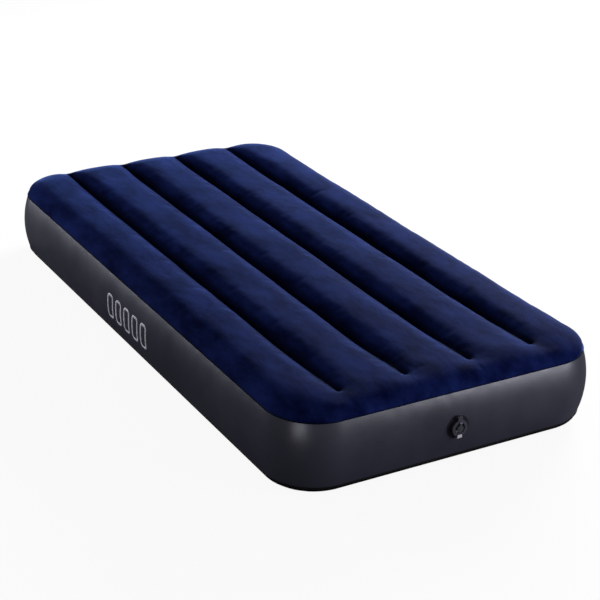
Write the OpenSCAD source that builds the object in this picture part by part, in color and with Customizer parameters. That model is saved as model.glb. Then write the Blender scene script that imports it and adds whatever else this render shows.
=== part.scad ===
// Single air bed: a flocked top sheet, a side wall and a base sheet welded into one air-tight
// body, with fibre tension beams inside and a two-in-one valve in the middle of the foot end.
// Millimetres. +Z is up, +Y runs from the valve end to the head end, and the origin is the
// middle of the patch of base sheet that rests on the ground.

/* [Bed] */
// Width of the inflated bed over its bulged side walls
bed_w = 990; // [960:1:1020]
// Length of the inflated bed over its bulged end walls
bed_l = 1910; // [1800:1:2050]
// Height from the ground to the crowns of the air chambers
bed_h = 250; // [246:1:270]
// Plan radius of the bed's corners at the widest line of the wall
corner_r = 155; // [140:1:180]
// Thickness of the sheets and the wall
sheet_t = 1.5; // [1.2:0.1:2]

/* [Chambers] */
// Depth of a seam below the crowns on either side of it
seam_depth = 29; // [20:1:32]
// Width of the flat weld at the bottom of a seam
seam_land = 8; // [6:1:12]
// Gap from the foot end's weld line to the end of a seam
seam_gap_foot = 86; // [70:1:110]
// Gap from the head end's weld line to the end of a seam
seam_gap_head = 34; // [25:1:60]
// Plan width of the rounded shoulder between the weld line and the crown
shoulder_w = 84; // [60:1:90]

/* [Side wall] */
// Height of the upper weld line above the ground
top_weld_z = 208; // [200:1:215]
// Height of the lower weld line above the ground
base_weld_z = 26; // [20:1:32]
// How far the wall bulges past its weld lines
wall_bulge = 16; // [10:1:22]
// Height of a weld bead
bead_h = 1.5; // [1:0.1:2]
// How far a weld bead stands out from the wall's edge
bead_out = 1.2; // [0.5:0.1:2]
// Width of the strip that covers the joint of the wall's two ends
joint_strip_w = 18; // [12:1:25]

/* [Tension beams] */
// Spacing of the fibre bundles along a beam
fibre_pitch = 25; // [20:1:40]
// Thickness of a fibre bundle
fibre_d = 1.6; // [1.2:0.1:2]
// Thickness of a beam's edge strips
strip_t = 1.1; // [1:0.1:1.5]

/* [Valve] */
// Height of the valve's axis above the ground
valve_z = 114; // [105:1:125]
// Radius of the flange welded to the wall
flange_r = 33; // [31:0.5:36]
// Thickness of the flange
flange_t = 1.2; // [1:0.1:1.6]
// Outer radius of the neck
neck_r = 22; // [21:0.5:23]
// Radius of the neck's bore, the deflation port
neck_bore_r = 17.5; // [17.5:0.5:18]
// How far the neck stands out from the wall
neck_out = 9; // [8:0.5:10]
// How far the neck reaches into the bed
neck_in = 14; // [12:1:18]
// Outer radius of the inflation nozzle
nozzle_r = 9; // [8.5:0.5:9]
// Radius of the inflation nozzle's bore
nozzle_bore_r = 6.5; // [6:0.5:6.5]
// Width of the strap hinge of the deflation plug
tether_w = 14; // [10:1:16]
// Width of the strap hinge of the inflation cap
cap_strap_w = 8; // [6:1:9]

/* [Hidden] */
$fn = 96;
chambers = 5;
seams = chambers - 1;
half_w = bed_w / 2;
half_l = bed_l / 2;

// The weld lines are a rounded rectangle, inside the widest line by the wall's bulge.
weld_w = half_w - wall_bulge;
weld_l = half_l - wall_bulge;
weld_r = corner_r - wall_bulge;
corner_x = half_w - corner_r;
corner_y = half_l - corner_r;

// The wall's section is an arc through both weld lines.
wall_mid_z = (top_weld_z + base_weld_z) / 2;
wall_half_h = (top_weld_z - base_weld_z) / 2;
wall_arc_r = (pow(wall_half_h, 2) + pow(wall_bulge, 2)) / (2 * wall_bulge);

chamber_w = bed_w / chambers;
seam_y0 = -weld_l + seam_gap_foot;
seam_y1 = weld_l - seam_gap_head;
seam_top_z = bed_h - seam_depth;
base_seam_drop = 6;
seam_base_z = base_weld_z - base_seam_drop;
// The base sheet's chambers would hang this far below its weld line; the ground flattens them.
base_drop = base_weld_z + 8;
columns_per_chamber = 10;
corner_step = 11.25;

// Clearance between parts that are welded together or pressed on, so that they only touch.
weld_gap = 0.05;
joint_strip_t = 0.8;

// Valve details, along its axis outwards from the wall. fit_gap is between parts that move.
fit_gap = 0.3;
collar_z = 3.5;
collar_h = 3;
collar_r = neck_r + 2.4;
plug_rim_r = neck_r + 1;
plug_rim_z = neck_out + fit_gap;
plug_rim_t = 2.3;
plug_skirt_r = neck_bore_r - 0.4;
plug_taper_z = 5.5;
plug_end_r = 15.2;
plug_wall = 2;
plug_floor_z = 1;
plug_floor_t = 1.5;
ring_groove_r = 16.5;
ring_r = neck_bore_r - 0.2;
ring_z = 6.5;
ring_h = 1.8;
tether_axis_y = -26.5;
tether_axis_z = 9.6;
hinge_bar_r = 1;
hinge_gap = 1.5;
strap_t = 1.6;
nozzle_top_z = 12.6;
nozzle_end_z = -3;
cap_axis_y = 16.3;
cap_axis_z = 12.9;
cap_disc_z = nozzle_top_z + 0.15;
cap_disc_r = nozzle_r - 0.2;
cap_t = 1.5;
stopper_r = nozzle_bore_r - fit_gap;
stopper_l = 3.2;
stopper_wall = 1.4;
cap_knob_r = 3.6;
cap_knob_h = 0.9;
flap_axis_y = 10;
flap_axis_z = -3.6;
flap_pin_r = 0.5;
flap_knuckle_r = 0.85;
flap_t = 0.8;
flap_r = 7.4;

beams = [1:seams];

// ---- Sheets ----

// Distance of a point inside the weld line from that line.
function weld_distance(x, y) =
    let (qx = abs(x) - corner_x, qy = abs(y) - corner_y)
    weld_r - norm([max(qx, 0), max(qy, 0)]) - min(max(qx, qy), 0);

function seam_x(k) = (k - chambers / 2) * chamber_w;

// Quarter of an ellipse: 0 at t = 0, where it stands upright, and 1 from t = 1 on.
function swell(t) = t >= 1 ? 1 : sqrt(max(0, 1 - pow(1 - max(t, 0), 2)));

// Distance from the nearest seam's weld.
function seam_distance(x, y) =
    let (dy = max(0, seam_y0 - y, y - seam_y1))
    min([for (k = beams) norm([max(0, abs(x - seam_x(k)) - seam_land / 2), dy])]);

// How far a sheet stands off its weld line, from its height at the seams to that on the crowns.
function stand_off(x, y, crown, seam) =
    let (
        free_w = (chamber_w - seam_land) / 2,
        shoulder = crown * swell(max(0, weld_distance(x, y)) / shoulder_w)
    )
    shoulder - max(0, shoulder - seam) * (1 - swell(seam_distance(x, y) / free_w));

function top_z(x, y) =
    top_weld_z + stand_off(x, y, bed_h - top_weld_z, seam_top_z - top_weld_z);
function base_z(x, y) =
    max(0, base_weld_z - stand_off(x, y, base_drop, base_weld_z - seam_base_z));

// Grid lines across the bed: [chamber, share of the way across it], closer beside the seams.
across = [for (c = [0:seams]) for (i = [0:columns_per_chamber])
    [c, (1 - cos(180 * i / columns_per_chamber)) / 2]];

// Grid lines along the bed: [centre of the corner arc, its sine, its cosine].
along = concat(
    [for (a = [90:-corner_step:0]) [-corner_y, -sin(a), cos(a)]],
    [for (y = [-corner_y + 45, -corner_y / 2, 0, corner_y / 2, corner_y - 45]) [y, 0, 1]],
    [for (a = [0:corner_step:90]) [corner_y, sin(a), cos(a)]]);

// A grid point, where the rounded rectangle's corners have radius r. The lines beside the seams
// are straight, and those of the outer chambers close in on the corners.
function grid_point(row, column, r) =
    let (
        edge = corner_x + r * row[2],
        c = column[0],
        left = c == 0 ? -edge : seam_x(c) + seam_land / 2,
        right = c == seams ? edge : seam_x(c + 1) - seam_land / 2
    )
    [left + (right - left) * column[1], row[0] + r * row[1]];

nc = len(across);
nr = len(along);
count = nc * nr;
border = concat(
    [for (i = [0:nc - 1]) i],
    [for (j = [1:nr - 1]) j * nc + nc - 1],
    [for (i = [nc - 2:-1:0]) (nr - 1) * nc + i],
    [for (j = [nr - 2:-1:1]) j * nc]);

// How far the inner skin of a sheet is from point p of its outer skin. The neighbours west, east,
// south and north of p give the slopes, and the step keeps both slopes across the bed one thickness
// thick. It points up.
function inner_step(p, west, east, south, north) =
    let (
        run = north - south,
        w = cross(p - west, run) / norm(cross(p - west, run)),
        e = cross(east - p, run) / norm(cross(east - p, run))
    )
    sheet_t * (w + e) / (1 + w * e);

// A thin sheet over the whole bed. Its outer skin has the stated height, its inner skin is one
// thickness further inside the bed, and both meet the weld plane in a flat rim.
module sheet(up) {
    outer = [for (row = along) for (column = across)
        let (p = grid_point(row, column, weld_r)) [p.x, p.y, up ? top_z(p.x, p.y) : base_z(p.x, p.y)]];
    inner = [for (j = [0:nr - 1]) for (i = [0:nc - 1])
        let (n = j * nc + i, edge = i == 0 || i == nc - 1 || j == 0 || j == nr - 1)
        edge ? [each grid_point(along[j], across[i], weld_r - sheet_t), outer[n].z]
            : outer[n] + (up ? -1 : 1)
                * inner_step(outer[n], outer[n - 1], outer[n + 1], outer[n - nc], outer[n + nc])];
    skins = [for (j = [0:nr - 2]) for (i = [0:nc - 2])
        let (a = j * nc + i, b = a + 1, c = a + nc + 1, d = a + nc)
        each [[a, d, c], [a, c, b],
            [count + a, count + c, count + d], [count + a, count + b, count + c]]];
    rim = [for (n = [0:len(border) - 1])
        let (a = border[n], b = border[(n + 1) % len(border)])
        each [[a, b, count + b], [a, count + b, count + a]]];
    faces = concat(rim, skins);
    polyhedron(concat(outer, inner), up ? faces : [for (f = faces) [f[0], f[2], f[1]]]);
}

module top_sheet() { color("midnightblue") sheet(true); }

module base_sheet() { color("#26262c") sheet(false); }

// ---- Wall and welds ----

// Carries a profile round the bed's corners and sides. The profile's X is the distance out
// from the corner arcs' centres.
module round_the_bed() {
    for (corner = [[1, 1, 0], [-1, 1, 90], [-1, -1, 180], [1, -1, 270]])
        translate([corner[0] * corner_x, corner[1] * corner_y, 0])
            rotate(corner[2]) rotate_extrude(angle = 90) children();
    for (side = [-1, 1]) {
        translate([side * corner_x, side * corner_y, 0])
            rotate([90, 0, side > 0 ? 0 : 180]) linear_extrude(2 * corner_y) children();
        translate([-side * corner_x, side * corner_y, 0])
            rotate([90, 0, side > 0 ? 90 : -90]) linear_extrude(2 * corner_x) children();
    }
}

// Part of the wall's arc between two offsets from its outer face.
module wall_arc(outer, inner, z0, z1) {
    intersection() {
        difference() {
            translate([corner_r - wall_arc_r, wall_mid_z]) circle(wall_arc_r + outer);
            translate([corner_r - wall_arc_r, wall_mid_z]) circle(wall_arc_r + inner);
        }
        translate([weld_r - 2 * sheet_t - wall_bulge, z0])
            square([4 * wall_bulge, z1 - z0]);
    }
}

// The solid cylinder that the foot end's wall is part of, grown by extra.
module foot_wall_cylinder(extra) {
    translate([0, wall_arc_r - half_l, wall_mid_z]) rotate([0, 90, 0])
        cylinder(r = wall_arc_r + extra, h = 4 * flange_r, center = true);
}

module side_wall() {
    color("#4a4a52") difference() {
        round_the_bed() wall_arc(0, -sheet_t, base_weld_z + bead_h, top_weld_z - bead_h);
        at_valve() translate([0, 0, -neck_in]) cylinder(r = neck_r + 0.4, h = 2 * neck_in);
    }
}

module weld_bead(z) {
    round_the_bed() translate([weld_r - 2 * sheet_t, z])
        square([2 * sheet_t + bead_out, bead_h]);
}

module top_weld_bead() { color("#0b0e2e") weld_bead(top_weld_z - bead_h); }

module base_weld_bead() { color("#17171b") weld_bead(base_weld_z); }

// The strip over the joint of the wall band's two ends, in the middle of the head end.
module wall_joint_strip() {
    color("#4a4a52") translate([joint_strip_w / 2, corner_y, 0]) rotate([90, 0, -90])
        mirror([1, 0, 0]) linear_extrude(joint_strip_w)
            wall_arc(joint_strip_t + weld_gap, weld_gap, base_weld_z + 6, top_weld_z - 6);
}

// ---- Tension beams ----

strip_top_z = seam_top_z - sheet_t - strip_t;
strip_base_z = seam_base_z + sheet_t;

module beam_strip(k, z) {
    color("#3a3a42") translate([seam_x(k) - seam_land / 2, seam_y0, z])
        cube([seam_land, seam_y1 - seam_y0, strip_t]);
}

module beam_fibres(k) {
    bundles = floor((seam_y1 - seam_y0) / fibre_pitch) - 1;
    first = (seam_y0 + seam_y1 - bundles * fibre_pitch) / 2;
    color("gainsboro") for (i = [0:bundles])
        translate([seam_x(k), first + i * fibre_pitch, strip_base_z + strip_t])
            cylinder(d = fibre_d, h = strip_top_z - strip_base_z - strip_t, $fn = 16);
}

// ---- Valve ----

// Valve parts are drawn with +Z out of the wall and +Y up, and the wall's outer face at Z = 0.
module at_valve() { translate([0, -half_l, valve_z]) rotate([90, 0, 0]) children(); }

// A bar lying across the valve, at y and z.
module cross_bar(y, z, r, w) {
    translate([0, y, z]) rotate([0, 90, 0]) cylinder(r = r, h = w, center = true, $fn = 32);
}

// The welded flange follows the wall, and the neck passes through it.
module valve_base() {
    color("dimgray") difference() {
        union() {
            difference() {
                intersection() {
                    at_valve() translate([0, 0, -neck_in]) cylinder(r = flange_r, h = 2 * neck_in);
                    foot_wall_cylinder(flange_t);
                }
                foot_wall_cylinder(weld_gap);
            }
            at_valve() translate([0, 0, -neck_in]) cylinder(r = neck_r, h = neck_in + neck_out);
        }
        at_valve() translate([0, 0, -neck_in - 1]) cylinder(r = neck_bore_r, h = neck_in + neck_out + 2);
    }
}

// The band round the neck, with the post that carries the plug's strap hinge.
module tether_collar() {
    post_w = 2 * hinge_bar_r;
    color("gray") at_valve() {
        difference() {
            union() {
                translate([0, 0, collar_z]) cylinder(r = collar_r, h = collar_h);
                translate([-tether_w / 2, tether_axis_y - hinge_bar_r, collar_z])
                    cube([tether_w, post_w + 3, collar_h]);
            }
            translate([0, 0, collar_z - 1]) cylinder(r = neck_r + weld_gap, h = collar_h + 2);
        }
        translate([-tether_w / 2, tether_axis_y - hinge_bar_r, collar_z])
            cube([tether_w, post_w, tether_axis_z - collar_z]);
        cross_bar(tether_axis_y, tether_axis_z, hinge_bar_r, tether_w);
    }
}

// The plug: a rim, a tapered skirt, a floor, and the inflation nozzle through the floor.
module deflation_plug() {
    rim_top = plug_rim_z + plug_rim_t;
    floor_top = plug_floor_z + plug_floor_t;
    color("slategray") at_valve() {
        difference() {
            rotate_extrude() polygon([
                [nozzle_bore_r, nozzle_end_z], [nozzle_r, nozzle_end_z],
                [nozzle_r, plug_floor_z], [plug_end_r, plug_floor_z],
                [plug_skirt_r, plug_taper_z], [plug_skirt_r, plug_rim_z],
                [plug_rim_r, plug_rim_z], [plug_rim_r, rim_top - 0.6],
                [plug_rim_r - 0.6, rim_top], [plug_skirt_r - plug_wall, rim_top],
                [plug_end_r - plug_wall, floor_top], [nozzle_r, floor_top],
                [nozzle_r, nozzle_top_z], [nozzle_bore_r, nozzle_top_z]]);
            translate([0, 0, ring_z]) difference() {
                cylinder(r = plug_skirt_r + 1, h = ring_h);
                cylinder(r = ring_groove_r, h = ring_h);
            }
        }
        finger_tab();
        // Strap end that meets the hinge bar of the collar
        translate([-tether_w / 2, tether_axis_y + hinge_gap, plug_rim_z + fit_gap])
            cube([tether_w, 5, strap_t]);
        // Post and bar of the inflation cap's strap hinge
        translate([-cap_strap_w / 2, cap_axis_y - hinge_bar_r, rim_top - 0.5])
            cube([cap_strap_w, 2 * hinge_bar_r, cap_axis_z - rim_top + 0.5]);
        cross_bar(cap_axis_y, cap_axis_z, hinge_bar_r, cap_strap_w);
        // Lugs that hold the flap's pin
        for (side = [-1, 1])
            translate([side * 3.6 - 0.5, nozzle_r - 1, flap_axis_z - 1])
                cube([1, flap_axis_y - nozzle_r + 2, 3.2]);
    }
}

// The tab that a finger lifts to pull the plug out.
module finger_tab() {
    tab_w = 13;
    tab_end = 30;
    tab_z = plug_rim_z + fit_gap;
    rib_w = 0.9;
    translate([-tab_w / 2, plug_rim_r - 2, tab_z])
        cube([tab_w, tab_end - plug_rim_r + 2, strap_t]);
    translate([0, tab_end, tab_z]) cylinder(d = tab_w, h = strap_t);
    // Three grip ribs
    for (n = [-1:1]) translate([-tab_w / 4, tab_end + n * 2.4, tab_z + strap_t - rib_w / 2])
        cube([tab_w / 2, rib_w, rib_w]);
}

module plug_seal_ring() {
    color("#202024") at_valve() translate([0, 0, ring_z + 0.05]) difference() {
        cylinder(r = ring_r, h = ring_h - 0.1);
        translate([0, 0, -1]) cylinder(r = ring_groove_r + 0.02, h = ring_h + 2);
    }
}

// The pin between the lugs, which the flap swings on.
module flap_pin() {
    color("silver") at_valve() cross_bar(flap_axis_y, flap_axis_z, flap_pin_r, 6.1);
}

// The cap closes the nozzle with a short stopper, on a strap hinge above it.
module inflation_cap() {
    cap_top = cap_disc_z + cap_t;
    color("lightgray") at_valve() {
        rotate_extrude() polygon([
            [0, cap_disc_z], [stopper_r - stopper_wall, cap_disc_z],
            [stopper_r - stopper_wall, cap_disc_z - stopper_l],
            [stopper_r - 0.5, cap_disc_z - stopper_l],
            [stopper_r, cap_disc_z - stopper_l + 1], [stopper_r, cap_disc_z],
            [cap_disc_r, cap_disc_z], [cap_disc_r, cap_top - 0.5],
            [cap_disc_r - 0.5, cap_top], [cap_knob_r, cap_top],
            [cap_knob_r - 0.5, cap_top + cap_knob_h], [0, cap_top + cap_knob_h]]);
        translate([-cap_strap_w / 2, cap_disc_r - 2, cap_disc_z + 0.1])
            cube([cap_strap_w, cap_axis_y - hinge_gap - cap_disc_r + 2, 1.2]);
        translate([-3, -cap_disc_r - 2.6, cap_disc_z + 0.1]) cube([6, 4, 1.2]);
    }
}

// The rubber flap that air pushes open on its way in.
module check_flap() {
    plate_z = nozzle_end_z - 0.1 - flap_t;
    knuckle_w = 5.4;
    color("#303036") at_valve() difference() {
        union() {
            translate([0, 0, plate_z]) cylinder(r = flap_r, h = flap_t);
            translate([-knuckle_w / 2, 0, plate_z])
                cube([knuckle_w, flap_axis_y, flap_t]);
            cross_bar(flap_axis_y, flap_axis_z, flap_knuckle_r, knuckle_w);
        }
        cross_bar(flap_axis_y, flap_axis_z, flap_pin_r + 0.08, knuckle_w + 2);
    }
}

top_sheet();
side_wall();
base_sheet();
top_weld_bead();
base_weld_bead();
wall_joint_strip();
for (k = beams) {
    beam_fibres(k);
    beam_strip(k, strip_top_z);
    beam_strip(k, strip_base_z);
}
valve_base();
tether_collar();
deflation_plug();
plug_seal_ring();
flap_pin();
inflation_cap();
check_flap();
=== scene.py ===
"""Looks for a single flocked air bed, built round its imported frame. Metres, +Z up, +Y towards the
head end. The valve is in the middle of the foot end, which faces -Y."""
import math

import bpy
import numpy as np
from mathutils import Matrix, Vector


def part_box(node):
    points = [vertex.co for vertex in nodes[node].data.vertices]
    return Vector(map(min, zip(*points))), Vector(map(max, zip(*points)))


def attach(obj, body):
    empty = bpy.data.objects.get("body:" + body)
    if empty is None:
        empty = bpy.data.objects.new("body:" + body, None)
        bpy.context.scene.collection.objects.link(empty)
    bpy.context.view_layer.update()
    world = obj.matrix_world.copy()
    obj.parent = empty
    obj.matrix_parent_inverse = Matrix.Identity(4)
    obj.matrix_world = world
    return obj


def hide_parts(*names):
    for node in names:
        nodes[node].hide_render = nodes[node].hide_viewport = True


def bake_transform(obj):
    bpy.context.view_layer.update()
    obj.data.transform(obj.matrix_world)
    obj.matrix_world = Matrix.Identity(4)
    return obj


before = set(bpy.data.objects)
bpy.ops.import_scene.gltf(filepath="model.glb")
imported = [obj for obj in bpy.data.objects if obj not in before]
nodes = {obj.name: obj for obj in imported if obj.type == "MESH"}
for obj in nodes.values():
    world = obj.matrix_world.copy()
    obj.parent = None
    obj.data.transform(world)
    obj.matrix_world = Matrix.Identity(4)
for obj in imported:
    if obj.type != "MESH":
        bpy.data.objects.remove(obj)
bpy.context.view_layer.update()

# ---- Sizes, from the frame ----

wall_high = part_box("side_wall")[1]
top_low, top_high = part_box("top_sheet")
base_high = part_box("base_sheet")[1]
valve_low, valve_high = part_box("valve_base")
strips = [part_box(f"beam_{k}_top_strip") for k in range(1, 5)]

HALF_W, HALF_L = wall_high.x, wall_high.y
WELD_W, WELD_L = top_high.x, top_high.y
TOP_WELD_Z, CROWN_Z = top_low.z, top_high.z
BASE_WELD_Z = base_high.z
WALL_MID_Z = (TOP_WELD_Z + BASE_WELD_Z) / 2
WALL_HALF_H = (TOP_WELD_Z - BASE_WELD_Z) / 2
BULGE = HALF_W - WELD_W
WALL_ARC_R = (WALL_HALF_H**2 + BULGE**2) / (2 * BULGE)

# The wall's radius at the bed's corners, and the weld line's.
CORNER_R = 0.155
WELD_R = CORNER_R - BULGE
CORNER_X, CORNER_Y = WELD_W - WELD_R, WELD_L - WELD_R

# A beam's strip is this far from the outer face of the sheet that it holds.
STRIP_DEPTH = 0.0017
SEAM_X = np.array([(low.x + high.x) / 2 for low, high in strips])
SEAM_W = strips[0][1].x - strips[0][0].x
SEAM_Y0, SEAM_Y1 = strips[0][0].y, strips[0][1].y
SEAM_Z = strips[0][1].z + STRIP_DEPTH
BASE_SEAM_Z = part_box("beam_1_base_strip")[0].z - STRIP_DEPTH
SEAM_COUNT = len(SEAM_X)
CHAMBER_W = SEAM_X[1] - SEAM_X[0]

# Half of the line that a seam pulls level, the width of the rounded shoulder, the stretch over which
# a seam deepens from the foot end, how full a chamber's curve is, and the shown sheets' thickness.
PULLED_HALF_W = SEAM_W / 4
SHOULDER_W = 0.084
SEAM_EASE = 0.3
CHAMBER_FULLNESS = 2.7
SHEET_T = 0.0006

# The middle of the valve, on the outermost line of the foot end's wall.
VALVE = Vector((0, -HALF_L, (valve_low.z + valve_high.z) / 2))


# ---- Mesh helpers ----

def mesh_piece(name, points, faces, smooth=True):
    """An object at the origin with these points, an (n, 3) array, and these faces."""
    mesh = bpy.data.meshes.new(name)
    mesh.from_pydata(points, [], faces)
    mesh.update()
    if smooth:
        mesh.shade_smooth()
    piece = bpy.data.objects.new(name, mesh)
    bpy.context.scene.collection.objects.link(piece)
    return piece


def grid_faces(rows, columns, wrap_rows=False, wrap_columns=False):
    """Quads of a grid whose point (row, column) has number row * columns + column. Seen from the
    side where rows run up and columns run right, they face the viewer."""
    i = np.arange(rows if wrap_rows else rows - 1)[:, None]
    j = np.arange(columns if wrap_columns else columns - 1)[None, :]
    i2, j2 = (i + 1) % rows, (j + 1) % columns
    quads = np.stack(np.broadcast_arrays(
        i * columns + j, i * columns + j2, i2 * columns + j2, i2 * columns + j), axis=-1)
    return quads.reshape(-1, 4)


def point_attribute(piece, name, values):
    """A number for each point of a piece, which its material reads."""
    attribute = piece.data.attributes.new(name, "FLOAT", "POINT")
    attribute.data.foreach_set("value", np.asarray(values, np.float32).ravel())


def give_thickness(piece, thickness):
    """Solidify inwards, so the shown face stays where it is."""
    shell = piece.modifiers.new("thickness", "SOLIDIFY")
    shell.thickness = thickness
    shell.offset = -1


def inflate(piece, welded, slack, cap):
    """Cloth simulation of air under a sheet. The welded points stay, and the others take up the
    slack, a share of the cloth's length. A point at start s that the air takes to e ends at
    s + (e - s) x min(1, cap / |e - s|)."""
    frames = 20
    count = len(piece.data.vertices)
    start, end = np.empty(3 * count, np.float32), np.empty(3 * count, np.float32)
    piece.data.vertices.foreach_get("co", start)
    group = piece.vertex_groups.new(name="welded")
    group.add(np.flatnonzero(welded).tolist(), 1.0, "REPLACE")
    air = piece.modifiers.new("air", "CLOTH")
    air.settings.vertex_group_mass = "welded"
    air.settings.quality = 6
    air.settings.mass = 0.05
    air.settings.tension_stiffness = 20
    air.settings.compression_stiffness = 20
    air.settings.shear_stiffness = 8
    air.settings.bending_stiffness = 0.08
    air.settings.shrink_min = -slack
    air.settings.use_pressure = True
    air.settings.uniform_pressure_force = 4
    air.settings.effector_weights.gravity = 0
    air.collision_settings.use_collision = False
    scene = bpy.context.scene
    for frame_number in range(1, frames + 1):
        scene.frame_set(frame_number)
    inflated = piece.evaluated_get(bpy.context.evaluated_depsgraph_get())
    inflated.data.vertices.foreach_get("co", end)
    step = (end - start).reshape(-1, 3)
    length = np.linalg.norm(step, axis=1, keepdims=True)
    end = start.reshape(-1, 3) + step * np.minimum(1, cap / np.maximum(length, 1e-9))
    piece.modifiers.remove(air)
    piece.vertex_groups.remove(group)
    piece.data.vertices.foreach_set("co", end.ravel())
    piece.data.update()
    scene.frame_set(1)


# ---- Shape of the bed ----

def swell(t, fullness=2.0):
    """Quarter of a superellipse: (1 - (1 - t)^n)^(1/n), 0 at t = 0 and 1 from t = 1 on. The
    fullness n is 2 for an ellipse, and more for a rounder, fuller shape."""
    t = np.clip(t, 0, 1)
    return (1 - (1 - t)**fullness)**(1 / fullness)


def weld_distance(x, y):
    """Distance inside the weld line, a rounded rectangle: corner radius less the distance from the
    rectangle of corner centres."""
    qx, qy = np.abs(x) - CORNER_X, np.abs(y) - CORNER_Y
    return WELD_R - np.hypot(np.maximum(qx, 0), np.maximum(qy, 0)) - np.minimum(
        np.maximum(qx, qy), 0)


def seam_distance(x, y):
    """Distance from the nearest seam, a straight line from SEAM_Y0 to SEAM_Y1."""
    past = np.maximum(0, np.maximum(SEAM_Y0 - y, y - SEAM_Y1))
    side = np.maximum(0, np.abs(x[..., None] - SEAM_X) - PULLED_HALF_W)
    return np.hypot(side, past[..., None]).min(-1)


def outward(x, y):
    """Unit vector in plan from the nearest corner centre, or square to the nearest side."""
    qx, qy = np.abs(x) - CORNER_X, np.abs(y) - CORNER_Y
    nx, ny = np.maximum(qx, 0), np.maximum(qy, 0)
    flat = (nx + ny) < 1e-9
    nx = np.where(flat & (qx >= qy), 1, nx)
    ny = np.where(flat & (qx < qy), 1, ny)
    length = np.hypot(nx, ny)
    return np.sign(x) * nx / length, np.sign(y) * ny / length


def waves(y, seed, lengths, size):
    """Sum of sines of the given wavelengths, each with a seeded phase and a share of size."""
    rng = np.random.default_rng(seed)
    out = np.zeros_like(y)
    for length in lengths:
        out += np.sin(2 * math.pi * y / length + rng.uniform(0, 2 * math.pi))
    return out * size / len(lengths)


def sheet_columns(count):
    """Where the grid's columns are: (chamber, share across it). The shares are closer together at
    the seams: 0.6 (1 - cos(pi t)) / 2 + 0.4 t."""
    share = (1 - np.cos(np.linspace(0, math.pi, count))) / 2
    share = 0.6 * share + 0.4 * np.linspace(0, 1, count)
    return [(chamber, part) for chamber in range(SEAM_COUNT + 1) for part in share]


def sheet_grid(per_chamber, corner_rows, middle_rows):
    """x and y of a grid over the bed. Rows are lines of constant y. Columns are straight between
    the outer seams, and those outside them close in on the rounded corners:
    y = corner centre + r sin a and half width = corner centre + r cos a in the corner rows."""
    turn = np.linspace(math.pi / 2, 0, corner_rows)
    ends_y, ends_w = CORNER_Y + WELD_R * np.sin(turn), CORNER_X + WELD_R * np.cos(turn)
    middle = np.linspace(-CORNER_Y, CORNER_Y, middle_rows)[1:-1]
    y = np.concatenate([-ends_y, middle, ends_y[::-1]])
    half = np.concatenate([ends_w, np.full(len(middle), WELD_W), ends_w[::-1]])
    columns = []
    for chamber, share in sheet_columns(per_chamber):
        left, right = -half, half
        if chamber > 0:
            left = np.full_like(half, SEAM_X[chamber - 1] + PULLED_HALF_W)
        if chamber < SEAM_COUNT:
            right = np.full_like(half, SEAM_X[chamber] - PULLED_HALF_W)
        columns.append(left + (right - left) * share)
    x = np.stack(columns, axis=1)
    return x, np.broadcast_to(y[:, None], x.shape)


def seam_hold(y):
    """Share of a seam's full depth. It is 1 along most of the seam, and eases by t^2 (3 - 2t) to
    a half over the last stretch before the foot end."""
    t = np.clip((y - SEAM_Y0) / SEAM_EASE, 0, 1)
    return 0.5 + 0.5 * t**2 * (3 - 2 * t)


def stand_off(x, y, crown, seam):
    """Height of a sheet off its weld line. The shoulder rises as an ellipse to the crown, and each
    seam holds the sheet down to its own height with a fuller curve on either side."""
    shoulder = crown * swell(weld_distance(x, y) / SHOULDER_W)
    free = (CHAMBER_W - 2 * PULLED_HALF_W) / 2
    held = seam_hold(y) * (1 - swell(seam_distance(x, y) / free, CHAMBER_FULLNESS))
    return shoulder - np.maximum(0, shoulder - seam) * held


def puckers(x, y):
    """Short gathers square to each seam: waves along it, with stronger and weaker stretches, times
    t exp(1 - t), where t is the distance off the weld over the peak's. They fade out at its ends."""
    peak = 0.014
    fade = 0.05
    out = np.zeros_like(x)
    for k, seam in enumerate(SEAM_X):
        for side in (-1, 1):
            off = np.maximum(0, (x - seam) * side - PULLED_HALF_W)
            reach = off / peak * np.exp(1 - off / peak)
            along = waves(y, 10 * k + side + 1, (0.031, 0.043, 0.067, 0.101), 1)
            strength = 0.55 + 0.45 * waves(y, 50 * k + side + 101, (0.23, 0.41), 1)
            held = np.clip((y - SEAM_Y0) / fade, 0, 1) * np.clip((SEAM_Y1 - y) / fade, 0, 1)
            out += np.where(off > 0, along * strength * reach * held, 0)
    return out


# ---- Pieces ----

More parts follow.
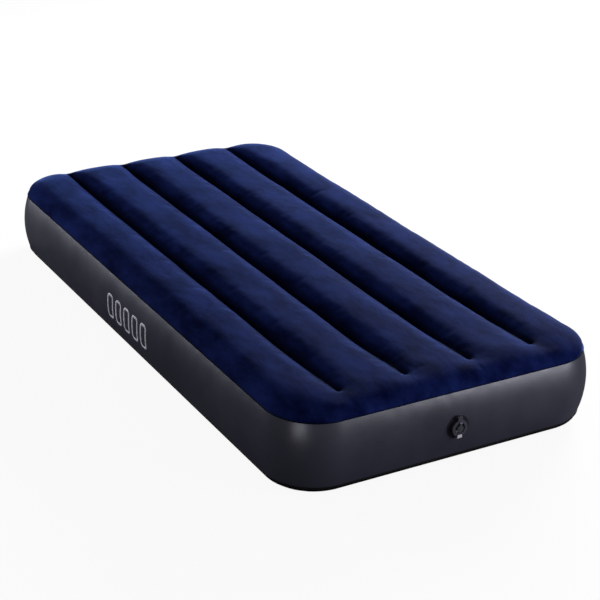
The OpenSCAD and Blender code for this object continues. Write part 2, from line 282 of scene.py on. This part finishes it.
def top_piece():
    """The flocked top. Its height is the stand-off over the upper weld line, with gathers along the
    seams and a slow unevenness, and the shoulder swells outwards by lip x sin(pi x shoulder). Cloth
    simulation then lets the air take up the slack between the welds. The seam shade, painted shade
    by which the material darkens the flock in the valleys, is exp(-(distance from the seam / its
    width)^2)."""
    gather = 0.0008
    uneven = 0.0012
    lip = 0.003
    # Width of the painted shade along each seam.
    painted_seam_shade_w = 0.012
    touching = 0.001
    x, y = sheet_grid(per_chamber=13, corner_rows=18, middle_rows=156)
    rise = stand_off(x, y, CROWN_Z - TOP_WELD_Z, SEAM_Z - TOP_WELD_Z)
    shoulder = swell(weld_distance(x, y) / SHOULDER_W)
    waviness = uneven * np.sin(x * 23 + 1.3 * np.sin(y * 7)) * np.sin(y * 11 + 2)
    z = TOP_WELD_Z + rise + shoulder * (gather * puckers(x, y) + waviness - uneven)
    out = lip * np.sin(math.pi * shoulder)
    nx, ny = outward(x, y)
    points = np.stack([x + nx * out, y + ny * out, z], axis=-1)
    piece = mesh_piece("flocked_top", points.reshape(-1, 3), grid_faces(*x.shape))
    off_seam = seam_distance(x, y)
    welded = (off_seam < touching) | (weld_distance(x, y) < touching)
    inflate(piece, welded.ravel(), slack=0.0035, cap=0.005)
    # Painted shade: the share by which the flock's colour is darkened near each seam, in the valleys.
    point_attribute(piece, "painted_seam_shade", np.exp(-(off_seam / painted_seam_shade_w)**2))
    smooth = piece.modifiers.new("smooth", "SUBSURF")
    smooth.levels = smooth.render_levels = 1
    give_thickness(piece, SHEET_T)
    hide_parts("top_sheet")
    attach(piece, "mattress")
    return piece


def base_piece():
    """The plain base sheet: the stand-off hangs from the lower weld line, and the ground flattens
    it, z = max(0, weld - stand-off). It would reach below the ground by the pressed depth."""
    pressed = 0.008
    x, y = sheet_grid(per_chamber=13, corner_rows=16, middle_rows=90)
    drop = stand_off(x, y, BASE_WELD_Z + pressed, BASE_WELD_Z - BASE_SEAM_Z)
    z = np.maximum(0, BASE_WELD_Z - drop)
    points = np.stack([x, y, z], axis=-1).reshape(-1, 3)
    piece = mesh_piece("base_skin", points, grid_faces(*x.shape)[:, ::-1])
    give_thickness(piece, SHEET_T)
    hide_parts("base_sheet")
    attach(piece, "mattress")
    return piece


def ring_path(step, fine=0.003, fine_half=0.045):
    """Corner-centre points and outward normals round the bed, anticlockwise from the foot end's
    left corner. The steps are finer beside the valve."""
    corner_points = 24
    half = np.concatenate([
        np.arange(0, fine_half, fine),
        np.linspace(fine_half, CORNER_X, int((CORNER_X - fine_half) / step) + 1)])
    foot = np.concatenate([-half[:0:-1], half])
    side = np.linspace(-CORNER_Y, CORNER_Y, int(2 * CORNER_Y / step))
    head = np.linspace(CORNER_X, -CORNER_X, int(2 * CORNER_X / step))
    turn = np.linspace(0, math.pi / 2, corner_points)[1:-1]

    def line(along, fixed, normal, vertical):
        centre = np.stack([np.full_like(along, fixed), along] if vertical
                          else [along, np.full_like(along, fixed)], axis=1)
        return centre, np.broadcast_to(np.array(normal, float), centre.shape)

    def corner(cx, cy, start):
        angle = start + turn
        centre = np.broadcast_to(np.array([cx, cy]), (len(turn), 2))
        return centre, np.stack([np.cos(angle), np.sin(angle)], axis=1)

    parts = [
        line(foot, -CORNER_Y, (0, -1), False), corner(CORNER_X, -CORNER_Y, -math.pi / 2),
        line(side, CORNER_X, (1, 0), True), corner(CORNER_X, CORNER_Y, 0),
        line(head, CORNER_Y, (0, 1), False), corner(-CORNER_X, CORNER_Y, math.pi / 2),
        line(side[::-1], -CORNER_X, (-1, 0), True), corner(-CORNER_X, -CORNER_Y, math.pi)]
    return np.concatenate([p[0] for p in parts]), np.concatenate([p[1] for p in parts])


def carried(centre, normal, radius, height):
    """Points of a profile (radius, height) carried round the bed: centre + radius x normal."""
    flat = centre[None] + normal[None] * np.broadcast_to(
        radius, (radius.shape[0], len(centre)))[..., None]
    z = np.broadcast_to(height, flat.shape[:2])
    return np.concatenate([flat, z[..., None]], axis=-1)


def wall_out(z):
    """How far the wall bulges past the weld line at a height: a circular arc through both welds."""
    return np.sqrt(WALL_ARC_R**2 - (z - WALL_MID_Z)**2) - WALL_ARC_R + BULGE


def wall_piece():
    """The side wall: the arc carried round the bed, with shallow gathers beside each weld, and a
    round hole behind the valve's flange. Points inside the hole's edge are moved out to it. The
    gathers are waves x t exp(1 - t), where t is the distance from the weld over the peak's, and
    they calm down where the ring closes. The weld beads hide the outermost rows."""
    gather = 0.0004
    peak = 0.01
    fade = 0.004
    calm_length = 0.08
    hole_r = 0.0226
    seen_edge = WALL_HALF_H - 0.0012
    hidden_edge = WALL_HALF_H - 0.0005
    centre, normal = ring_path(0.009)
    steps = np.linalg.norm(np.diff(centre + WELD_R * normal, axis=0), axis=1)
    travel = np.concatenate([[0], np.cumsum(steps)])
    lean = np.linspace(-1, 1, 41)
    height = seen_edge * (0.75 * lean + 0.25 * lean**3)
    height = WALL_MID_Z + np.concatenate([[-hidden_edge], height, [hidden_edge]])
    z = np.broadcast_to(height[:, None], (len(height), len(centre)))
    from_weld = WALL_HALF_H - np.abs(z - WALL_MID_Z)
    along = waves(travel, 3, (0.041, 0.057, 0.083, 0.131), 1)
    calm = 1 - np.exp(-(travel / calm_length)**2)
    calm = calm * (1 - np.exp(-((travel[-1] - travel) / calm_length)**2))
    ripple = gather * (along * calm)[None] * (from_weld / peak) * np.exp(1 - from_weld / peak)
    radius = WELD_R + wall_out(z) + ripple * np.clip(from_weld / fade, 0, 1)
    points = carried(centre, normal, radius, z)
    faces = grid_faces(len(height), len(centre), wrap_columns=True)
    flat = points.reshape(-1, 3)
    off = np.hypot(flat[:, 0] - VALVE.x, flat[:, 2] - VALVE.z)
    foot = flat[:, 1] < -CORNER_Y
    inside = (off < hole_r) & foot
    faces = faces[~inside[faces].all(axis=1)]
    edge = inside & np.isin(np.arange(len(flat)), faces)
    spread = hole_r / off[edge]
    flat[edge, 0] *= spread
    flat[edge, 2] = VALVE.z + (flat[edge, 2] - VALVE.z) * spread
    flat[edge, 1] = -CORNER_Y - WELD_R - wall_out(flat[edge, 2])
    used, faces = np.unique(faces, return_inverse=True)
    piece = mesh_piece("wall_skin", flat[used], faces.reshape(-1, 4))
    give_thickness(piece, SHEET_T)
    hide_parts("side_wall")
    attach(piece, "mattress")
    return piece


def bead_piece(name, node, z, out, thick):
    """A weld bead: a flattened oval profile carried round just inside the weld line. Its half width
    is out, and its height is thick."""
    inset = 0.0012
    centre, normal = ring_path(0.012, fine=0.012)
    angle = np.linspace(0, 2 * math.pi, 14, endpoint=False)
    radius = WELD_R - inset + out * np.cos(angle)
    height = z + thick / 2 * np.sin(angle)
    points = carried(centre, normal, radius[:, None], height[:, None])
    faces = grid_faces(len(angle), len(centre), wrap_rows=True, wrap_columns=True)
    piece = mesh_piece(name, points.reshape(-1, 3), faces)
    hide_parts(node)
    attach(piece, "mattress")
    return piece


def mark_piece():
    """Five upright outlined bars printed on the left wall. An outline runs round four corner
    centres, c + r (cos a, sin a) with r for its outer edge and r less the line for its inner one,
    and stands on the wall's arc at x = -(corner centre + weld radius + bulge at z + lift)."""
    bars = 5
    half_w = 0.0205
    half_h = 0.039
    corner_r = 0.014
    line_w = 0.0076
    lift = 0.0007
    pitch = 0.0575
    ink_t = 0.0005
    middle_y = 0.008
    below_middle = 0.007
    turn_points = 9
    side_points = 12
    corners = np.array([(1, 1), (-1, 1), (-1, -1), (1, -1)]) * (half_w - corner_r, half_h - corner_r)
    straight = np.linspace(0, 1, side_points + 2)[1:-1, None]
    centre, angle = [], []
    for k in range(4):
        turn = np.linspace(k, k + 1, turn_points) * math.pi / 2
        centre.append(np.tile(corners[k], (turn_points, 1)))
        centre.append(corners[k] + (corners[(k + 1) % 4] - corners[k]) * straight)
        angle.append(turn)
        angle.append(np.full(side_points, turn[-1]))
    centre, angle = np.concatenate(centre), np.concatenate(angle)
    facing = np.stack([np.cos(angle), np.sin(angle)], axis=1)
    points, faces = [], []
    for bar in range(bars):
        for r in (corner_r, corner_r - line_w):
            y = centre[:, 0] + r * facing[:, 0] + middle_y + (bar - (bars - 1) / 2) * pitch
            z = centre[:, 1] + r * facing[:, 1] + WALL_MID_Z - below_middle
            x = -(CORNER_X + WELD_R + wall_out(z) + lift)
            points.append(np.stack([x, y, z], axis=1))
        faces.append(grid_faces(2, len(angle), wrap_columns=True) + 2 * len(angle) * bar)
    piece = mesh_piece("side_mark", np.concatenate(points), np.concatenate(faces)[:, ::-1])
    give_thickness(piece, ink_t)
    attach(piece, "mattress")
    return piece


def strap_piece(name, path, half_w, thick):
    """A moulded strap hinge: a flat tongue along a path of (y, z) millimetres in the valve's own
    frame, with its outer face away from the wall. Each pass cuts the path's corners at a quarter
    and at three quarters. The half width is half_w (1 - narrowing t^4), t from -1 to 1 along it."""
    passes = 3
    narrowing = 0.25
    rounding = 0.0002
    path = np.array(path, float) / 1000
    for _ in range(passes):
        early = 0.75 * path[:-1] + 0.25 * path[1:]
        late = 0.25 * path[:-1] + 0.75 * path[1:]
        cut = np.stack([early, late], 1).reshape(-1, 2)
        path = np.concatenate([path[:1], cut, path[-1:]])
    width = 1 - narrowing * np.linspace(-1, 1, len(path))**4
    x = np.linspace(-half_w, half_w, 7)[None] * width[:, None]
    y = np.broadcast_to(VALVE.y - path[:, 1:], x.shape)
    z = np.broadcast_to(VALVE.z + path[:, :1], x.shape)
    points = np.stack([x, y, z], axis=-1).reshape(-1, 3)
    piece = mesh_piece(name, points, grid_faces(*x.shape))
    give_thickness(piece, thick)
    edges = piece.modifiers.new("edges", "BEVEL")
    edges.width, edges.segments = rounding, 2
    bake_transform(piece)
    return piece


# ---- Materials ----

def new_material(name, colour, roughness, **sockets):
    """A Principled material with its plain numbers on the shader's own sockets."""
    material = bpy.data.materials.new(name)
    material.use_nodes = True
    shader = material.node_tree.nodes["Principled BSDF"]
    shader.inputs["Base Color"].default_value = (*colour, 1)
    shader.inputs["Roughness"].default_value = roughness
    for socket, value in sockets.items():
        shader.inputs[socket.replace("_", " ")].default_value = value
    return material, material.node_tree, shader


def node_group(name, inputs, outputs):
    """An empty shader group with named float, vector or colour sockets."""
    group = bpy.data.node_groups.new(name, "ShaderNodeTree")
    for socket, kind, value in inputs:
        made = group.interface.new_socket(socket, in_out="INPUT", socket_type="NodeSocket" + kind)
        if value is not None:
            made.default_value = value
    for socket, kind in outputs:
        group.interface.new_socket(socket, in_out="OUTPUT", socket_type="NodeSocket" + kind)
    return group, group.nodes.new("NodeGroupInput"), group.nodes.new("NodeGroupOutput")


def noise(tree, vector, scale, detail=3.0, roughness=0.5):
    """The grey value of a noise texture."""
    texture = tree.nodes.new("ShaderNodeTexNoise")
    texture.inputs["Scale"].default_value = scale
    texture.inputs["Detail"].default_value = detail
    texture.inputs["Roughness"].default_value = roughness
    tree.links.new(vector, texture.inputs["Vector"])
    return texture.outputs["Fac"]


def stretch(tree, value, low, high, to_low=0.0, to_high=1.0):
    """Map Range: low..high becomes to_low..to_high, clamped."""
    node = tree.nodes.new("ShaderNodeMapRange")
    node.inputs["From Min"].default_value = low
    node.inputs["From Max"].default_value = high
    node.inputs["To Min"].default_value = to_low
    node.inputs["To Max"].default_value = to_high
    tree.links.new(value, node.inputs["Value"])
    return node.outputs["Result"]


# Where a Mix node keeps its colour sockets: two inputs and an output.
MIX_A, MIX_B, MIX_OUT = 6, 7, 2


def mixed(tree, factor, a, b):
    """A colour between two others, each a socket or an RGB triple."""
    node = tree.nodes.new("ShaderNodeMix")
    node.data_type = "RGBA"
    tree.links.new(factor, node.inputs["Factor"])
    for socket, value in ((MIX_A, a), (MIX_B, b)):
        if isinstance(value, tuple):
            node.inputs[socket].default_value = (*value, 1)
        else:
            tree.links.new(value, node.inputs[socket])
    return node.outputs[MIX_OUT]


def bump(tree, shader, height, strength, distance):
    """A bump from a height, on the shader's normal."""
    node = tree.nodes.new("ShaderNodeBump")
    node.inputs["Strength"].default_value = strength
    node.inputs["Distance"].default_value = distance
    tree.links.new(height, node.inputs["Height"])
    tree.links.new(node.outputs["Normal"], shader.inputs["Normal"])


def object_coordinates(tree):
    return tree.nodes.new("ShaderNodeTexCoord").outputs["Object"]


def vinyl_group():
    """Calendered vinyl: a fine leather-like emboss and faint cloudy handling marks."""
    group, given, out = node_group(
        "vinyl_grain", [("Vector", "Vector", None), ("Grain Scale", "Float", 900.0)],
        [("Height", "Float"), ("Cloud", "Float")])
    cells = group.nodes.new("ShaderNodeTexVoronoi")
    cells.feature = "SMOOTH_F1"
    group.links.new(given.outputs["Vector"], cells.inputs["Vector"])
    group.links.new(given.outputs["Grain Scale"], cells.inputs["Scale"])
    group.links.new(cells.outputs["Distance"], out.inputs["Height"])
    group.links.new(noise(group, given.outputs["Vector"], 6.0, 5.0, 0.6), out.inputs["Cloud"])
    return group


VINYL = vinyl_group()


def vinyl_material(name, dark, light, roughness, grain_scale=900.0, grain=0.15, **sockets):
    """Satin vinyl: the cloud moves the colour and the roughness a little, the emboss is a bump."""
    material, tree, shader = new_material(name, light, roughness, **sockets)
    group = tree.nodes.new("ShaderNodeGroup")
    group.node_tree = VINYL
    group.inputs["Grain Scale"].default_value = grain_scale
    tree.links.new(object_coordinates(tree), group.inputs["Vector"])
    cloud = stretch(tree, group.outputs["Cloud"], 0.35, 0.65)
    tree.links.new(mixed(tree, cloud, dark, light), shader.inputs["Base Color"])
    tree.links.new(
        stretch(tree, group.outputs["Cloud"], 0.3, 0.7, roughness - 0.05, roughness + 0.05),
        shader.inputs["Roughness"])
    bump(tree, shader, group.outputs["Height"], grain, 0.0004)
    return material


def flock_material():
    """Velvety flock: deep navy with lighter brushed patches, a fine nap, and a blue sheen where it is
    lit or seen along its surface. Along the seams its colour is darkened as painted shade in the
    valleys."""
    material, tree, shader = new_material(
        "navy_flock", (0.006, 0.01, 0.05), 0.9, Sheen_Weight=1.0, Sheen_Roughness=0.24,
        Sheen_Tint=(0.11, 0.21, 0.65, 1), Specular_IOR_Level=0.02)
    at = object_coordinates(tree)
    lean = tree.nodes.new("ShaderNodeMapping")
    lean.inputs["Scale"].default_value = (1.0, 0.45, 1.0)
    lean.inputs["Rotation"].default_value = (0, 0, 0.5)
    tree.links.new(at, lean.inputs["Vector"])
    brushed = stretch(tree, noise(tree, lean.outputs["Vector"], 16.0, 6.0, 0.62), 0.36, 0.68)
    speckle = stretch(tree, noise(tree, at, 420.0, 2.0, 0.6), 0.3, 0.7, 0.0, 0.35)
    patch = mixed(tree, brushed, (0.0025, 0.0055, 0.044), (0.013, 0.0265, 0.145))
    nap = mixed(tree, speckle, patch, (0.001, 0.0015, 0.014))
    # Painted shade: the colour is darkened towards near-black along the seams, where the valleys lie
    # in shade.
    painted_seam_shade = tree.nodes.new("ShaderNodeAttribute")
    painted_seam_shade.attribute_name = "painted_seam_shade"
    dark = stretch(tree, painted_seam_shade.outputs["Fac"], 0.1, 1.0, 0.0, 0.9)
    tree.links.new(mixed(tree, dark, nap, (0.0002, 0.0003, 0.002)), shader.inputs["Base Color"])
    pile = tree.nodes.new("ShaderNodeMath")
    pile.operation = "MULTIPLY_ADD"
    tree.links.new(noise(tree, lean.outputs["Vector"], 26.0, 5.0, 0.6), pile.inputs[0])
    pile.inputs[1].default_value = 3.8
    tree.links.new(noise(tree, at, 700.0, 3.0, 0.7), pile.inputs[2])
    bump(tree, shader, pile.outputs[0], 0.35, 0.0014)
    return material


def thread_material():
    """Fibre bundles: off-white thread with a fine twist."""
    material, tree, shader = new_material("thread", (0.6, 0.6, 0.57), 0.8)
    wave = tree.nodes.new("ShaderNodeTexWave")
    wave.bands_direction = "DIAGONAL"
    wave.inputs["Scale"].default_value = 900.0
    tree.links.new(object_coordinates(tree), wave.inputs["Vector"])
    tree.links.new(mixed(tree, wave.outputs["Fac"], (0.45, 0.45, 0.42), (0.68, 0.68, 0.65)),
                   shader.inputs["Base Color"])
    bump(tree, shader, wave.outputs["Fac"], 0.4, 0.0003)
    return material


def dress(piece, material):
    """Gives a piece its one material, and its slot where the piece's own function hasn't."""
    piece.data.materials.clear()
    piece.data.materials.append(material)


# ---- Build ----

flock = flock_material()
wall_vinyl = vinyl_material(
    "charcoal_vinyl", (0.042, 0.042, 0.062), (0.052, 0.052, 0.074), 0.34, Specular_IOR_Level=0.75)
base_vinyl = vinyl_material(
    "base_vinyl", (0.004, 0.004, 0.005), (0.008, 0.008, 0.01), 0.6, Specular_IOR_Level=0.2)
# Near-black weld bead: the real weld line, darkened further as painted shadow along the top's
# overhanging edge.
weld_and_shadow_vinyl = vinyl_material(
    "weld_and_shadow_vinyl", (0.001, 0.0015, 0.006), (0.002, 0.003, 0.01), 0.8, Specular_IOR_Level=0.08)
beam_vinyl = vinyl_material("beam_vinyl", (0.04, 0.04, 0.047), (0.06, 0.06, 0.07), 0.5)
valve_vinyl = vinyl_material(
    "valve_vinyl", (0.02, 0.02, 0.027), (0.03, 0.03, 0.038), 0.22, grain_scale=1500.0, grain=0.05)
plug_vinyl = vinyl_material(
    "plug_vinyl", (0.06, 0.062, 0.075), (0.1, 0.105, 0.12), 0.12, grain_scale=1500.0, grain=0.05)
# The clear strap's near-white colour is a painted highlight, standing in for the glint off the glossy
# strap.
clear_strap_glint = vinyl_material(
    "clear_strap_glint", (0.7, 0.7, 0.74), (0.85, 0.85, 0.88), 0.1, grain_scale=1500.0, grain=0.03)
print_ink = vinyl_material("print_ink", (0.76, 0.76, 0.79), (0.88, 0.88, 0.9), 0.5, grain=0.1)
rubber = vinyl_material("seal_rubber", (0.008, 0.008, 0.008), (0.014, 0.014, 0.014), 0.7)
steel = vinyl_material(
    "pin_steel", (0.45, 0.45, 0.47), (0.6, 0.6, 0.62), 0.35, grain_scale=2500.0, grain=0.05,
    Metallic=1.0)
thread = thread_material()

top = top_piece()
dress(top, flock)
base = base_piece()
dress(base, base_vinyl)
wall = wall_piece()
dress(wall, wall_vinyl)
BEAD_SHIFT = 0.0004
BEAD_OUT = 0.0034
BEAD_T = 0.0024
top_bead = bead_piece("top_weld", "top_weld_bead", TOP_WELD_Z - BEAD_SHIFT, BEAD_OUT, BEAD_T)
dress(top_bead, weld_and_shadow_vinyl)
base_bead = bead_piece("base_weld", "base_weld_bead", BASE_WELD_Z + BEAD_SHIFT, BEAD_OUT, BEAD_T)
dress(base_bead, base_vinyl)
dress(mark_piece(), print_ink)
plug_strap = strap_piece(
    "plug_strap", [(-28.2, 4.0), (-28.4, 8), (-28.3, 11.6), (-25, 12.3), (-17.8, 12.2)],
    half_w=0.007, thick=0.0007)
dress(plug_strap, clear_strap_glint)
cap_strap = strap_piece(
    "cap_strap", [(20.3, 12.4), (18.6, 13.6), (16.4, 15.1), (13, 15.0), (9, 14.9)],
    half_w=0.0034, thick=0.0006)
dress(cap_strap, plug_vinyl)

CAD_FINISHES = {
    "wall_joint_strip": wall_vinyl, "valve_base": valve_vinyl, "tether_collar": valve_vinyl,
    "deflation_plug": plug_vinyl, "plug_seal_ring": rubber, "flap_pin": steel,
    "inflation_cap": plug_vinyl, "check_flap": rubber}
for k in range(1, 5):
    CAD_FINISHES[f"beam_{k}_fibres"] = thread
    CAD_FINISHES[f"beam_{k}_top_strip"] = beam_vinyl
    CAD_FINISHES[f"beam_{k}_base_strip"] = beam_vinyl
for node, finish in CAD_FINISHES.items():
    dress(nodes[node], finish)


# ---- Stage, light and camera ----

def stage_floor():
    """A white floor that sends little light back up: the camera sees it glow just under white, and
    the light that falls on it adds the rest."""
    reach = 30
    corners = reach * np.array([(-1, -1, 0), (1, -1, 0), (1, 1, 0), (-1, 1, 0)], float)
    floor = mesh_piece("floor", corners, [(0, 1, 2, 3)], smooth=False)
    floor.location.z = -0.0005
    material, tree, shader = new_material(
        "floor_paper", (0.1, 0.1, 0.1), 0.9, Specular_IOR_Level=0.0, Emission_Strength=1.0)
    path = tree.nodes.new("ShaderNodeLightPath")
    seen = path.outputs["Is Camera Ray"]
    tree.links.new(mixed(tree, seen, (0.0, 0.0, 0.0), (0.92, 0.92, 0.92)),
                   shader.inputs["Emission Color"])
    dress(floor, material)


def area_light(name, place, aim, size, power, colour=(1, 1, 1)):
    """A rectangular soft light at place, turned to aim."""
    data = bpy.data.lights.new(name, "AREA")
    data.shape = "RECTANGLE"
    data.size, data.size_y = size
    data.energy = power
    data.color = colour
    light = bpy.data.objects.new(name, data)
    light.location = place
    light.rotation_euler = (Vector(aim) - Vector(place)).to_track_quat("-Z", "Y").to_euler()
    bpy.context.scene.collection.objects.link(light)


def world_light(strength):
    """A white surround, which the camera sees as plain white."""
    world = bpy.data.worlds.new("surround")
    bpy.context.scene.world = world
    world.use_nodes = True
    tree = world.node_tree
    background = tree.nodes["Background"]
    background.inputs["Color"].default_value = (1, 1, 1, 1)
    path = tree.nodes.new("ShaderNodeLightPath")
    tree.links.new(stretch(tree, path.outputs["Is Camera Ray"], 0, 1, strength, 1.0),
                   background.inputs["Strength"])


def camera(azimuth, elevation, distance, lens, roll, shift, target):
    """A camera that looks at target from an azimuth and an elevation, in degrees."""
    a, e = math.radians(azimuth), math.radians(elevation)
    back = Vector((math.sin(a) * math.cos(e), -math.cos(a) * math.cos(e), math.sin(e)))
    data = bpy.data.cameras.new("camera")
    data.lens = lens
    data.sensor_width = 36
    data.shift_x, data.shift_y = shift
    data.clip_end = 100
    view = bpy.data.objects.new("camera", data)
    view.location = Vector(target) + back * distance
    turn = (-back).to_track_quat("-Z", "Y").to_matrix().to_4x4()
    from_roll = Matrix.Rotation(math.radians(roll), 4, "Z")
    view.rotation_euler = (turn @ from_roll).to_euler()
    bpy.context.scene.collection.objects.link(view)
    bpy.context.scene.camera = view


SOFT_BLUE = (0.87, 0.87, 1)
stage_floor()
world_light(0.15)
area_light("head_key", place=(3.6, 2.1, 1.5), aim=(0, 0, 0.2), size=(2.0, 1.0), power=295)
area_light("foot_soft", place=(2.35, -3.25, 0.85), aim=(0.3, -0.95, 0.15), size=(1.9, 1.0),
           power=60, colour=SOFT_BLUE)
area_light("side_soft", place=(-2.5, 2.9, 0.85), aim=(-0.5, 0.5, 0.15), size=(1.6, 1.1),
           power=50, colour=SOFT_BLUE)
area_light("corner_soft", place=(-2.6, -2.5, 0.4), aim=(-0.42, -0.88, 0.12), size=(1.0, 0.6),
           power=9, colour=SOFT_BLUE)
camera(azimuth=-29.33, elevation=24.17, distance=4.916, lens=97.56, roll=1.14,
       shift=(0.0375, -0.0207), target=(0, 0, 0.12))
bpy.context.scene.view_settings.view_transform = "Standard"
